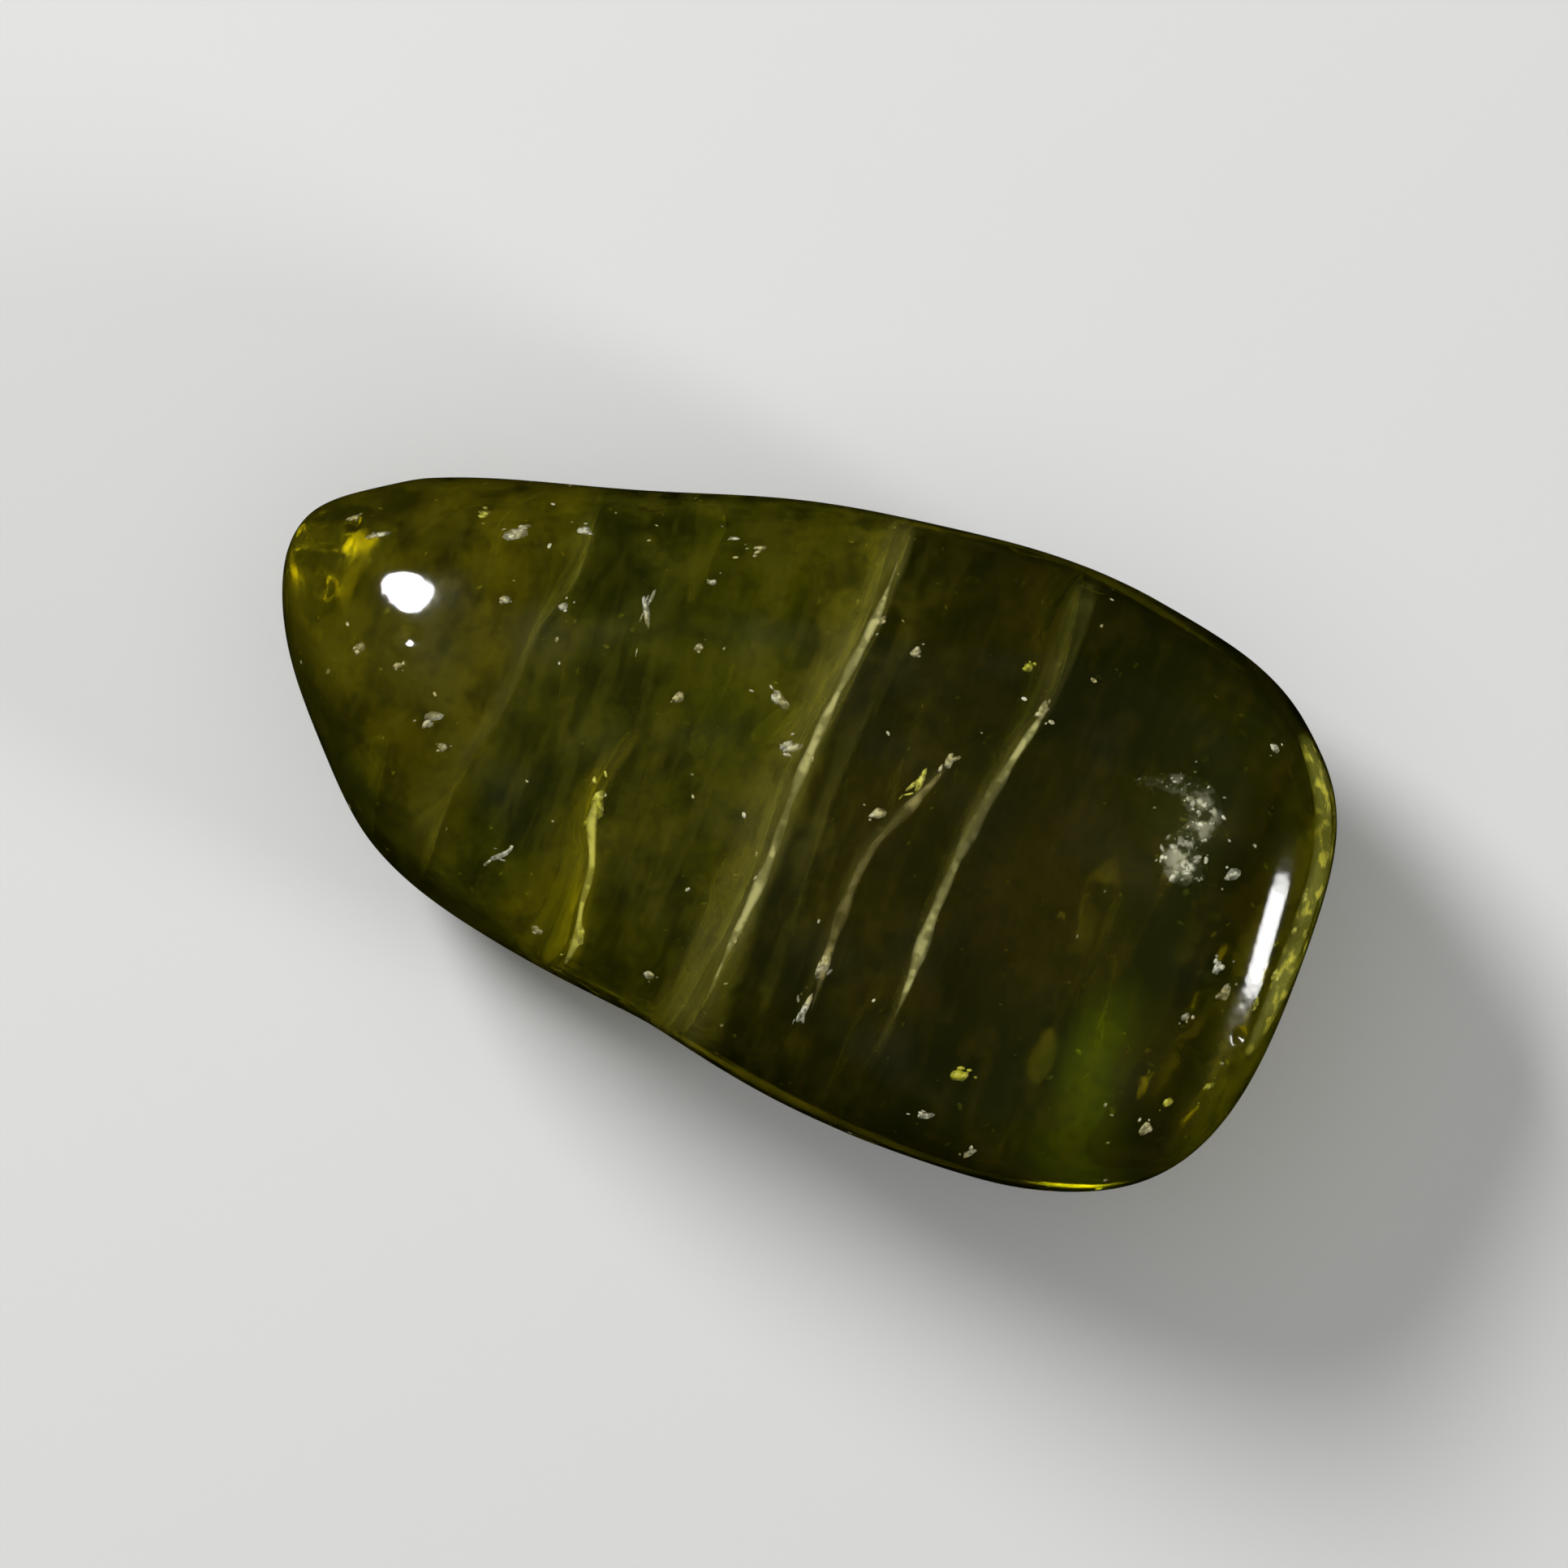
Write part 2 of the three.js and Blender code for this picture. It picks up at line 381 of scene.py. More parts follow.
def make_mesh(name, points, faces, material):
    """An object of the given millimetre points and faces, smooth, with one material."""
    mesh = bpy.data.meshes.new(name)
    mesh.from_pydata((np.asarray(points) * MM).tolist(), [], [list(map(int, face)) for face in faces])
    mesh.materials.append(material)
    mesh.shade_smooth()
    mesh.validate()
    piece = bpy.data.objects.new(name, mesh)
    bpy.context.collection.objects.link(piece)
    return piece


class Number:
    """A number socket of a material. Sums written on it add Math nodes."""

    def __init__(self, look, socket):
        self.look = look
        self.socket = socket

    def __add__(self, other):
        return self.look.math("ADD", self, other)

    def __sub__(self, other):
        return self.look.math("SUBTRACT", self, other)

    def __rsub__(self, other):
        return self.look.math("SUBTRACT", other, self)

    def __mul__(self, other):
        return self.look.math("MULTIPLY", self, other)

    def __pow__(self, other):
        return self.look.math("POWER", self, other)

    __radd__ = __add__
    __rmul__ = __mul__


class Look:
    """A material under construction, with its Principled shader."""

    def __init__(self, name):
        self.material = bpy.data.materials.new(name)
        self.material.use_nodes = True
        self.tree = self.material.node_tree
        self.shader = self.tree.nodes["Principled BSDF"]
        self.output = self.tree.nodes["Material Output"]
        self.place = self.node("ShaderNodeTexCoord").outputs["Object"]

    def node(self, kind, settings=None, sockets=None):
        """Adds a node: first its settings, then a value or a link for each socket."""
        node = self.tree.nodes.new(kind)
        for name, value in (settings or {}).items():
            setattr(node, name, value)
        for name, value in (sockets or {}).items():
            self.feed(node.inputs[name], value)
        return node

    def feed(self, socket, value):
        """Gives a socket a number, a colour or a link."""
        if isinstance(value, Number):
            value = value.socket
        if isinstance(value, bpy.types.NodeSocket):
            self.tree.links.new(value, socket)
        else:
            socket.default_value = value

    def set(self, **sockets):
        """Feeds the Principled shader, with its sockets' names in small letters."""
        for name, value in sockets.items():
            self.feed(self.shader.inputs[SHADER_SOCKETS[name]], value)

    def math(self, operation, *values):
        node = self.node("ShaderNodeMath", {"operation": operation}, dict(enumerate(values)))
        return Number(self, node.outputs[0])

    def noise(self, grain, detail=3.0, stretch=(1, 1, 1), **settings):
        """Cloudy noise, 0 to 1, whose clouds are about grain millimetres wide."""
        turned = self.node("ShaderNodeMapping", None, {"Vector": self.place, "Scale": stretch})
        sockets = {"Vector": turned.outputs[0], "Scale": 1 / (grain * MM), "Detail": detail, **settings}
        return Number(self, self.node("ShaderNodeTexNoise", None, sockets).outputs["Fac"])

    def ramp(self, value, start, stop):
        """0 below start, 1 above stop, and smooth between them."""
        sockets = {"Value": value, "From Min": start, "From Max": stop}
        node = self.node("ShaderNodeMapRange", {"interpolation_type": "SMOOTHSTEP"}, sockets)
        return Number(self, node.outputs["Result"])

    def mix(self, share, first, second):
        """One colour turning into another."""
        node = self.node("ShaderNodeMix", {"data_type": "RGBA"}, {"Factor": share, 6: first, 7: second})
        return node.outputs[2]

    def fade(self):
        """How far a ribbon's point lies from its sides and ends: 0 there, and 1 along its middle."""
        return Number(self, self.node("ShaderNodeAttribute", {"attribute_name": FADE}).outputs["Fac"])

    def axis(self, letter):
        """The place along one axis, in metres."""
        split = self.node("ShaderNodeSeparateXYZ", None, {0: self.place})
        return Number(self, split.outputs[letter])

    def near(self, point, radii):
        """1 at a millimetre point, fading to 0 at the radii along the three axes."""
        sockets = {0: self.place, 1: tuple(c * MM for c in point)}
        away = self.node("ShaderNodeVectorMath", {"operation": "SUBTRACT"}, sockets)
        sockets = {0: away.outputs[0], 1: tuple(r * MM for r in radii)}
        share = self.node("ShaderNodeVectorMath", {"operation": "DIVIDE"}, sockets)
        length = self.node("ShaderNodeVectorMath", {"operation": "LENGTH"}, {0: share.outputs[0]})
        return 1 - self.ramp(Number(self, length.outputs["Value"]), 0.0, 1.0)

    def near_line(self, line, near_glow, far_glow):
        """A glow on a crack's line in plan, of the (width, share) given for its near end and its far end."""
        x, y = self.axis("X"), self.axis("Y")
        node = self.node("ShaderNodeFloatCurve", None, {"Value": y * (1 / CURVE_SPAN / MM) + 0.5})
        curve = node.mapping.curves[0]
        while len(curve.points) < len(line):
            curve.points.new(0.5, 0.5)
        for point, (place, along) in zip(curve.points, line):
            point.location = (along / CURVE_SPAN + 0.5, place / CURVE_SPAN + 0.5)
        node.mapping.extend = "HORIZONTAL"
        node.mapping.update()
        offset = x - (Number(self, node.outputs[0]) - 0.5) * (CURVE_SPAN * MM)
        away = self.math("MAXIMUM", offset * STEEP_SIDE, 0 - offset)
        near, far = line[0][1] * MM, line[-1][1] * MM
        inside = self.ramp(y, near, near + MM) * (1 - self.ramp(y, far - MM, far))
        along = (y - near) * (1 / (far - near))
        width, share = (along * (after - before) + before for before, after in zip(near_glow, far_glow))
        return (1 - self.ramp(self.math("DIVIDE", away, width), 0.2 * MM, MM)) * inside * share

    def colours(self, value, start, stop, stops):
        """A colour for each value from start to stop, between stops of (value, colour)."""
        sockets = {"Value": value, "From Min": start, "From Max": stop}
        share = self.node("ShaderNodeMapRange", None, sockets).outputs["Result"]
        node = self.node("ShaderNodeValToRGB", None, {"Fac": share})
        elements = node.color_ramp.elements
        while len(elements) < len(stops):
            elements.new(1.0)
        for element, (place, colour) in zip(elements, stops):
            element.position = (place - start) / (stop - start)
            element.color = colour
        return node.outputs["Color"]

    def bump(self, height, distance):
        """A bumped normal, with the height's range in millimetres."""
        sockets = {"Height": height, "Distance": distance * MM}
        return self.node("ShaderNodeBump", None, sockets).outputs["Normal"]


CURVE_SPAN = 32.0
STEEP_SIDE = 3.0
FADE = "fade"
SHADER_SOCKETS = {
    "colour": "Base Color",
    "roughness": "Roughness",
    "ior": "IOR",
    "alpha": "Alpha",
    "normal": "Normal",
    "transmission": "Transmission Weight",
    "specular": "Specular IOR Level",
    "coat": "Coat Weight",
}


def clear_tourmaline(settings):
    """The see-through stone: growth zones along its length, patches in them, and pale edges along the cracks."""
    look = Look("clear_tourmaline")
    cloud = look.noise(3.2, 2.0, (1.8, 0.8, 0.8))
    mottle = look.noise(1.3, 3.0, (1.2, 0.85, 0.85))
    streak = look.noise(1.2, 2.0, (3.0, 0.45, 0.45))
    speck = look.noise(0.4, 2.0)
    x, y = look.axis("X"), look.axis("Y")
    along = x + (cloud - 0.5) * (0.8 * MM) + (mottle - 0.5) * (0.4 * MM)
    stops = [(place * MM, getattr(settings, name)) for place, name in GROWTH_ZONES]
    colour = look.colours(along, stops[0][0], stops[-1][0], stops)
    colour = look.mix(look.ramp(cloud, 0.42, 0.62) * 0.5, colour, settings.dusk)
    colour = look.mix(look.ramp(mottle, 0.47, 0.63) * 0.7, colour, settings.dark)
    paler = look.mix(look.ramp(x, 0.5 * MM, 4.0 * MM), settings.band, settings.brown)
    colour = look.mix((1 - look.ramp(mottle, 0.36, 0.48)) * 0.4, colour, paler)
    uneven = look.ramp(mottle, 0.38, 0.58) * 0.4 + 0.6
    for middle, radii, name, share in PATCHES:
        colour = look.mix(look.near(middle, radii) * uneven * share, colour, getattr(settings, name))
    colour = look.mix(look.ramp(streak, 0.52, 0.64) * 0.25, colour, paler)
    colour = look.mix(look.ramp(speck, 0.5, 0.64) * 0.3, colour, settings.dark)
    # Painted shade: beyond its line, the flank beside the tip turns to the darkest colour.
    (start_x, start_y), (out_x, out_y) = PAINTED_SHADE_FLANK["through"], PAINTED_SHADE_FLANK["outward"]
    beyond = (x - start_x * MM) * out_x + (y - start_y * MM) * out_y
    colour = look.mix(look.ramp(beyond, -0.6 * MM, 0.5 * MM) * 0.97, colour, settings.dark)
    uneven = (look.ramp(streak, 0.36, 0.62) * 0.7 + 0.5) * (speck * 1.2 + 0.35)
    for crack in CRACKS.values():
        if not crack["glow"]:
            continue
        edge = look.near_line(crack["outcrop"], *crack["glow"]) * uneven
        colour = look.mix(edge, colour, settings.gold if crack["look"] == "stain" else settings.milk)
    rub = look.noise(2.2, 1.0)
    grain = look.noise(0.35, 1.0)
    look.set(
        colour=colour,
        roughness=look.ramp(rub, 0.4, 0.8) * 0.06 + 0.06,
        ior=settings.ior,
        transmission=settings.clearness,
        normal=look.bump(grain, 0.003),
    )
    sockets = {"Color": settings.depth_colour, "Density": settings.density}
    volume = look.node("ShaderNodeVolumeAbsorption", None, sockets)
    look.tree.links.new(volume.outputs[0], look.output.inputs["Volume"])
    return look.material


def veil(name, thin, thick, cover):
    """A crack's film of tiny healed bubbles: patchy, from almost clear to milky, and thinner lower down."""
    look = Look(name)
    share = look.ramp(look.noise(1.6, 3.0), 0.3, 0.7)
    height = look.ramp(look.axis("Z"), 1.0 * MM, 9.5 * MM)
    look.set(
        colour=look.mix(share, thin, thick),
        roughness=0.5 - share * 0.1,
        ior=1.45,
        alpha=(share * 0.7 + 0.25) * (height * 0.7 + 0.3) * cover,
    )
    return look.material


def thread(name, colour, cover):
    """The bright line where a crack meets the polish: beaded, and broken in places."""
    look = Look(name)
    beads = look.noise(0.5, 2.0)
    breaks = look.noise(1.4, 2.0)
    broken = (look.ramp(beads, 0.42, 0.6) * 0.65 + 0.35) * (look.ramp(breaks, 0.4, 0.54) * 0.65 + 0.35)
    look.set(
        colour=colour,
        roughness=0.4 + beads * 0.2,
        ior=1.45,
        alpha=broken * look.fade() * cover,
    )
    return look.material


def fleck(name, pale, warm):
    """Bright mineral and bubble flecks, and painted glints, thinner and clearer in places."""
    look = Look(name)
    share = look.ramp(look.noise(0.9, 1.0), 0.35, 0.6)
    thin = look.ramp(look.noise(0.16, 3.0), 0.4, 0.6)
    look.set(
        colour=look.mix(share, pale, warm),
        roughness=0.35 + share * 0.2,
        ior=1.6,
        alpha=0.85 - thin * 0.6,
    )
    return look.material


def scar_crumb():
    """The pale rough stuff of the scar, half clear in places."""
    look = Look("scar_crumb")
    crumb = look.noise(0.3, 4.0)
    clear = look.ramp(look.noise(0.45, 3.0), 0.44, 0.58)
    look.set(
        colour=look.mix(look.ramp(crumb, 0.38, 0.6), (0.34, 0.35, 0.18, 1), (0.8, 0.78, 0.55, 1)),
        roughness=0.5 + crumb * 0.3,
        alpha=clear * 0.7 + 0.25,
        normal=look.bump(crumb, 0.05),
    )
    return look.material


def scar_film():
    """The cloudy bed of the scar, which fades out at its sides."""
    look = Look("scar_film")
    cloud = look.noise(0.45, 5.0)
    thick = look.ramp(cloud, 0.45, 0.62)
    late = 1 - look.ramp(look.axis("Y"), 1.5 * MM, 3.2 * MM) * 0.6
    look.set(
        colour=look.mix(thick, (0.22, 0.24, 0.1, 1), (0.55, 0.53, 0.34, 1)),
        roughness=0.6 + cloud * 0.2,
        alpha=(thick * 0.6 + 0.1) * late * look.fade(),
    )
    return look.material


def worn_rim():
    """A painted glow on the blunt rim, bright yellow-olive: patchy, with brighter spots, and faded at its sides."""
    look = Look("worn_rim")
    patches = look.noise(1.6, 3.0)
    spots = look.noise(0.5, 3.0)
    look.set(
        colour=look.mix(look.ramp(spots, 0.5, 0.66), (0.22, 0.22, 0.001, 1), (0.8, 0.74, 0.04, 1)),
        roughness=0.5 + spots * 0.2,
        alpha=(look.ramp(patches, 0.35, 0.6) * 0.45 + 0.5) * look.fade(),
    )
    return look.material


def finish_piece(piece, *nodes):
    """Holds a piece inside the solid's box, makes it ride on the stone's body, and hides any solid that it replaces."""
    points = np.empty(len(piece.data.vertices) * 3, np.float32)
    piece.data.vertices.foreach_get("co", points)
    held = np.clip(points.reshape(-1, 3), *np.array(CAD_BOX, np.float32))
    piece.data.vertices.foreach_set("co", held.ravel())
    piece.data.update()
    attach(piece, BODY)
    if nodes:
        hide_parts(*nodes)


def pitted(form, directions, settings):
    """The worn surface with its many small pits, set down."""
    points = form.surface(directions) + form.move
    chance = np.random.default_rng(settings.pit_seed)
    places = unit(unit(chance.normal(size=(settings.pit_count, 3))) * STRETCH)
    middles = form.surface(places) + form.move
    radii = chance.uniform(0.16, settings.pit_radius / MM, len(places))
    for glint in (KEY_GLINT, STRIP_GLINT):
        away = np.abs(middles[:, :2] - glint["at"]) > np.array(glint["size"]) / 2 + CLEAR_OF_PITS
        middles, radii = middles[away.any(axis=1)], radii[away.any(axis=1)]
    inward = unit(form.heart - points)
    for middle, radius in zip(middles, radii):
        share = np.linalg.norm(points - middle, axis=1) / radius
        points += inward * (bell(share) * radius * PIT_STEEPNESS)[:, None]
    return points


PIT_STEEPNESS = 0.28
CLEAR_OF_PITS = 0.5


def crack_sheet(form, crack, settings, offset, fineness=1.0):
    """A thin closed sheet along a crack: points and faces. It stops just under the stone's surface."""
    across = np.array(crack["outcrop"])
    near, far = across[0, 1], across[-1, 1]
    middle = np.array(((near + far) / 2, (crack["low"] + crack["high"]) / 2))
    half = np.array(((far - near) / 2, (crack["high"] - crack["low"]) / 2))
    spokes, rings = round(settings.spokes * fineness), round(settings.rings * fineness)
    angles = np.linspace(0, 2 * np.pi, spokes, endpoint=False)
    rim = np.stack((np.cos(angles), np.sin(angles)), axis=1)
    rim = rim / (np.abs(rim) ** RIM_POWER).sum(axis=1, keepdims=True) ** (1 / RIM_POWER)

    def on_sheet(y, z):
        share = np.clip((y - near) / (far - near), 0, 1)
        lean = crack["lean"][0] * (1 - share) + crack["lean"][1] * share
        ripple = np.sin(0.9 * y + 0.5 * z) + 0.6 * np.sin(1.7 * z - 0.8 * y) + 0.3 * np.sin(2.9 * y + 1.9 * z)
        x = smooth_along(across, y) + lean * (crack["high"] - z) + settings.ripple / MM * ripple + offset
        return np.stack((x, y, z), axis=-1)

    reach = np.zeros(spokes)
    for step in np.linspace(0, 1, RIM_STEPS):
        tried = middle + rim * half * step
        inside = form.depth(on_sheet(tried[:, 0], tried[:, 1])) > settings.skin / MM
        reach = np.where(inside & (reach >= step - 1.5 / RIM_STEPS), step, reach)
    reach *= 1 - 0.03 * (1 + np.sin(7 * angles + 1.1) * np.cos(4 * angles))
    levels = np.linspace(0, 1, rings + 1)[1:]
    flat = middle + (rim * half)[None] * (reach[None] * levels[:, None])[..., None]
    centre = on_sheet(middle[:1], middle[1:])
    layer = np.concatenate((centre, on_sheet(flat[..., 0], flat[..., 1]).reshape(-1, 3)))
    swell = np.concatenate(((1.0,), np.repeat(1 - levels**6, spokes))) * settings.film / MM / 2
    count = len(layer)
    front, back = layer.copy(), layer[: count - spokes].copy()
    front[:, 0] += swell
    back[:, 0] -= swell[: count - spokes]
    return np.concatenate((front, back)), disc_faces(spokes, rings, count)


RIM_POWER = 3.0
RIM_STEPS = 160


def crack_layers(form, crack, settings):
    """All the sheets of a crack, side by side."""
    offsets = (np.arange(crack["layers"]) - (crack["layers"] - 1) / 2) * crack["spread"]
    return joined([crack_sheet(form, crack, settings, offset) for offset in offsets])


def small_wisps(form, settings):
    """Small faint sheets scattered through the stone, all across its length as its growth was."""
    chance = np.random.default_rng(settings.wisp_seed)
    shapes = []
    for _ in range(settings.wisp_count):
        x, y, low = chance.uniform((-10.5, -5.0, 4.5), (11.5, 3.0, 7.5))
        length, rise = chance.uniform((1.2, 1.6), (3.2, 3.4))
        bends = chance.uniform(-0.25, 0.25, 2)
        wisp = dict(
            outcrop=((x, y), (x + bends[0], y + length / 2), (x + bends[1], y + length)),
            lean=chance.uniform(-0.35, 0.35, 2),
            low=low,
            high=low + rise,
        )
        middle = np.array(((x, y + length / 2, low + rise / 2),))
        if form.depth(middle)[0] > WISP_DEPTH:
            shapes.append(crack_sheet(form, wisp, settings, 0.0, WISP_FINENESS))
    return joined(shapes)


WISP_DEPTH = 0.8
WISP_FINENESS = 0.3


def smooth_along(line, y):
    """x on a smooth curve through the (x, y) points of a line, for each y."""
    known_y = line[:, 1]
    slopes = np.gradient(line[:, 0], known_y)
    place = np.clip(np.searchsorted(known_y, y) - 1, 0, len(line) - 2)
    span = known_y[place + 1] - known_y[place]
    t = np.clip((y - known_y[place]) / span, 0, 1)
    start, stop = line[place, 0], line[place + 1, 0]
    pull = t * (1 - t) * ((1 - t) * slopes[place] - t * slopes[place + 1]) * span
    return start + (stop - start) * t * t * (3 - 2 * t) + pull


def disc_faces(spokes, rings, count):
    """Triangles of two discs that share their rim: the front one's middle is point 0, and the back one starts at count."""

    def side(middle, ring_start, flip):
        turn = np.arange(spokes)
        after = (turn + 1) % spokes
        first = ring_start(0)
        faces = [np.stack((np.full(spokes, middle), first + turn, first + after), axis=1)]
        for ring in range(rings - 1):
            inner, outer = ring_start(ring), ring_start(ring + 1)
            faces.append(np.stack((inner + turn, outer + turn, outer + after), axis=1))
            faces.append(np.stack((inner + turn, outer + after, inner + after), axis=1))
        faces = np.concatenate(faces)
        return faces[:, ::-1] if flip else faces

    def front_ring(ring):
        return 1 + ring * spokes

    def back_ring(ring):
        return front_ring(ring) if ring == rings - 1 else count + 1 + ring * spokes

    return np.concatenate((side(0, front_ring, False), side(count, back_ring, True)))


def set_fleck(form, x, y, length, width, bearing, depth=0.0):
    """A small uneven eight-sided lozenge, level with the polish or this deep under it: points and faces."""
    middle = np.array((x, y, float(form.top_at(x, y, depth))))
    normal = form.normal_at(middle)
    turn = math.radians(bearing)
    along = np.array((math.cos(turn), math.sin(turn), 0))
    along = unit(along - normal * (along @ normal))
    angles = np.linspace(0, 2 * np.pi, 8, endpoint=False)
    uneven = 1 + 0.2 * np.sin(2.7 * angles + 3.1 * x) * np.cos(1.9 * angles + 2.3 * y)
    ring = np.stack((np.cos(angles) * length / 2, np.sin(angles) * width / 2, np.zeros(8)), axis=1) * uneven[:, None]
    points = np.concatenate((ring, ((0, 0, FLECK_THICKNESS / 2), (0, 0, -FLECK_THICKNESS / 2))))
    faces = [(i, (i + 1) % 8, 8) for i in range(8)] + [((i + 1) % 8, i, 9) for i in range(8)]
    return points @ np.stack((along, np.cross(normal, along), normal)) + middle, faces


FLECK_THICKNESS = 0.03


def fleck_cluster(form, row, chance):
    """A fleck as a large lozenge with smaller ones around it: their points and faces."""
    x, y, length, width, bearing = row
    turn = math.radians(bearing)
    shapes = []
    for share, reach in FLECK_PARTS:
        along, aside = chance.uniform(-1, 1, 2) * (length, width) * reach
        place = (
            x + along * math.cos(turn) - aside * math.sin(turn),
            y + along * math.sin(turn) + aside * math.cos(turn),
        )
        size = np.array((length, width)) * share * chance.uniform(0.8, 1.2, 2)
        shapes.append(set_fleck(form, *place, *size, bearing + chance.uniform(-30, 30)))
    return shapes


# The parts of a fleck: each one's share of its size, and how far from its middle they may lie, in its lengths.
FLECK_PARTS = ((0.85, 0.05), (0.5, 0.35), (0.36, 0.5), (0.24, 0.7), (0.18, 1.1))


def joined(shapes):
    """Several shapes as one list of points and one of faces."""
    points, faces, start = [], [], 0
    for shape_points, shape_faces in shapes:
        points.append(shape_points)
        faces += [tuple(int(corner) + start for corner in face) for face in shape_faces]
        start += len(shape_points)
    return np.concatenate(points), faces


def flake_tree():
    """Geometry Nodes that scatter small flakes over a surface, with its density, sizes, seed and material as inputs."""
    tree = bpy.data.node_groups.new("scatter_flakes", "GeometryNodeTree")
    face = tree.interface
    face.new_socket("Surface", in_out="INPUT", socket_type="NodeSocketGeometry")
    for name, kind in FLAKE_INPUTS:
        face.new_socket(name, in_out="INPUT", socket_type=kind)
    face.new_socket("Flakes", in_out="OUTPUT", socket_type="NodeSocketGeometry")

    def node(kind, settings=None, sockets=None):
        added = tree.nodes.new(kind)
        for name, value in (settings or {}).items():
            setattr(added, name, value)
        for name, value in (sockets or {}).items():
            if isinstance(value, bpy.types.NodeSocket):
                tree.links.new(value, added.inputs[name])
            else:
                added.inputs[name].default_value = value
        return added

    given = node("NodeGroupInput").outputs
    sockets = {"Mesh": given["Surface"], "Density": given["Density"], "Seed": given["Seed"]}
    points = node("GeometryNodeDistributePointsOnFaces", None, sockets)
    ball = node("GeometryNodeMeshIcoSphere", None, {"Radius": 1.0, "Subdivisions": 1})
    flat = node("GeometryNodeTransform", None, {"Geometry": ball.outputs["Mesh"], "Scale": (1.0, 0.6, 0.22)})
    most = node("ShaderNodeCombineXYZ", None, {0: given["Tilt"], 1: given["Tilt"], 2: math.tau})
    spin = node("FunctionNodeRandomValue", {"data_type": "FLOAT_VECTOR"}, {1: most.outputs[0], 8: given["Seed"]})
    sockets = {"Rotation": points.outputs["Rotation"], "Rotate By": spin.outputs[0]}
    turned = node("FunctionNodeRotateRotation", {"rotation_space": "LOCAL"}, sockets)
    sockets = {2: given["Smallest"], 3: given["Largest"], 8: given["Seed"]}
    size = node("FunctionNodeRandomValue", {"data_type": "FLOAT"}, sockets)
    sockets = {
        "Points": points.outputs["Points"],
        "Instance": flat.outputs["Geometry"],
        "Rotation": turned.outputs["Rotation"],
        "Scale": size.outputs[1],
    }
    copies = node("GeometryNodeInstanceOnPoints", None, sockets)
    real = node("GeometryNodeRealizeInstances", None, {"Geometry": copies.outputs["Instances"]})
    sockets = {"Geometry": real.outputs["Geometry"], "Material": given["Material"]}
    painted = node("GeometryNodeSetMaterial", None, sockets)
    node("NodeGroupOutput", None, {"Flakes": painted.outputs["Geometry"]})
    return tree


FLAKE_INPUTS = (
    ("Density", "NodeSocketFloat"),
    ("Smallest", "NodeSocketFloat"),
    ("Largest", "NodeSocketFloat"),
    ("Tilt", "NodeSocketFloat"),
    ("Seed", "NodeSocketInt"),
    ("Material", "NodeSocketMaterial"),
)


def scatter(name, surface, material, density, smallest, largest, tilt, seed):
    """A plain mesh of flakes scattered over a surface object, which is removed. density is for each square mm."""
    tree = bpy.data.node_groups.get("scatter_flakes") or flake_tree()
    modifier = surface.modifiers.new("flakes", "NODES")
    modifier.node_group = tree
    values = {
        "Density": density / MM**2,
        "Smallest": smallest * MM,
        "Largest": largest * MM,
        "Tilt": tilt,
        "Seed": seed,
        "Material": material,
    }
    for socket in tree.interface.items_tree:
        if socket.in_out == "INPUT" and socket.name in values:
            modifier[socket.identifier] = values[socket.name]
    evaluated = surface.evaluated_get(bpy.context.evaluated_depsgraph_get())
    mesh = bpy.data.meshes.new_from_object(evaluated)
    mesh.name = name
    bpy.data.objects.remove(surface)
    mesh.materials.clear()
    mesh.materials.append(material)
    piece = bpy.data.objects.new(name, mesh)
    bpy.context.collection.objects.link(piece)
    return piece


def tint(name, description, default):
    """A colour property."""
    return bpy.props.FloatVectorProperty(
        name=name, description=description, subtype="COLOR", size=4, min=0.0, max=1.0, default=(*default, 1.0)
    )


class StoneSettings(bpy.types.PropertyGroup):
    """Sizes and colours of the clear stone."""

    cuts: bpy.props.IntProperty(name="Cuts", description="Grid cuts on each side of the stone's mesh", default=124)
    ior: bpy.props.FloatProperty(name="IOR", description="Index of refraction", default=1.63)
    clearness: bpy.props.FloatProperty(name="Clearness", description="Share that isn't milky", default=0.93)
    density: bpy.props.FloatProperty(name="Density", description="Absorption for each metre", default=125.0)
    depth_colour: tint("Depth colour", "Colour that deep stone keeps", (0.66, 0.62, 0.03))
    tip: tint("Tip", "Yellow olive of the tip", (0.62, 0.55, 0.012))
    green: tint("Green", "Grey green next to the tip", (0.26, 0.29, 0.012))
    olive: tint("Olive", "Olive before the main crack", (0.38, 0.39, 0.01))
    band: tint("Band", "Paler band along the main crack", (0.68, 0.64, 0.05))
    dusk: tint("Dusk", "Darker olive between the cracks", (0.18, 0.17, 0.01))
    # This colour is also laid on as painted shade: on the flank beside the tip and in two places under the stone.
    dark: tint("Dark", "Darkest green of the blunt half", (0.085, 0.1, 0.008))
    # The rim colour is painted glow of light through the blunt rim.
    rim: tint("Rim", "Yellow olive of the blunt end's rim", (0.9, 0.88, 0.01))
    brown: tint("Brown", "Brown parts", (0.32, 0.24, 0.02))
    leaf: tint("Leaf", "Bright green part of the blunt half", (0.76, 0.98, 0.002))
    gold: tint("Gold", "Golden stain", (0.98, 0.86, 0.02))
    milk: tint("Milk", "Pale edges of the cracks and milky places", (0.96, 0.92, 0.18))
    pit_count: bpy.props.IntProperty(name="Pits", description="Number of small pits", default=150)
    pit_radius: bpy.props.FloatProperty(
        name="Pit radius", description="Radius of the widest small pit", default=0.34 * MM, subtype="DISTANCE"
    )
    pit_seed: bpy.props.IntProperty(name="Pit seed", description="Seed of the pits' places", default=11)


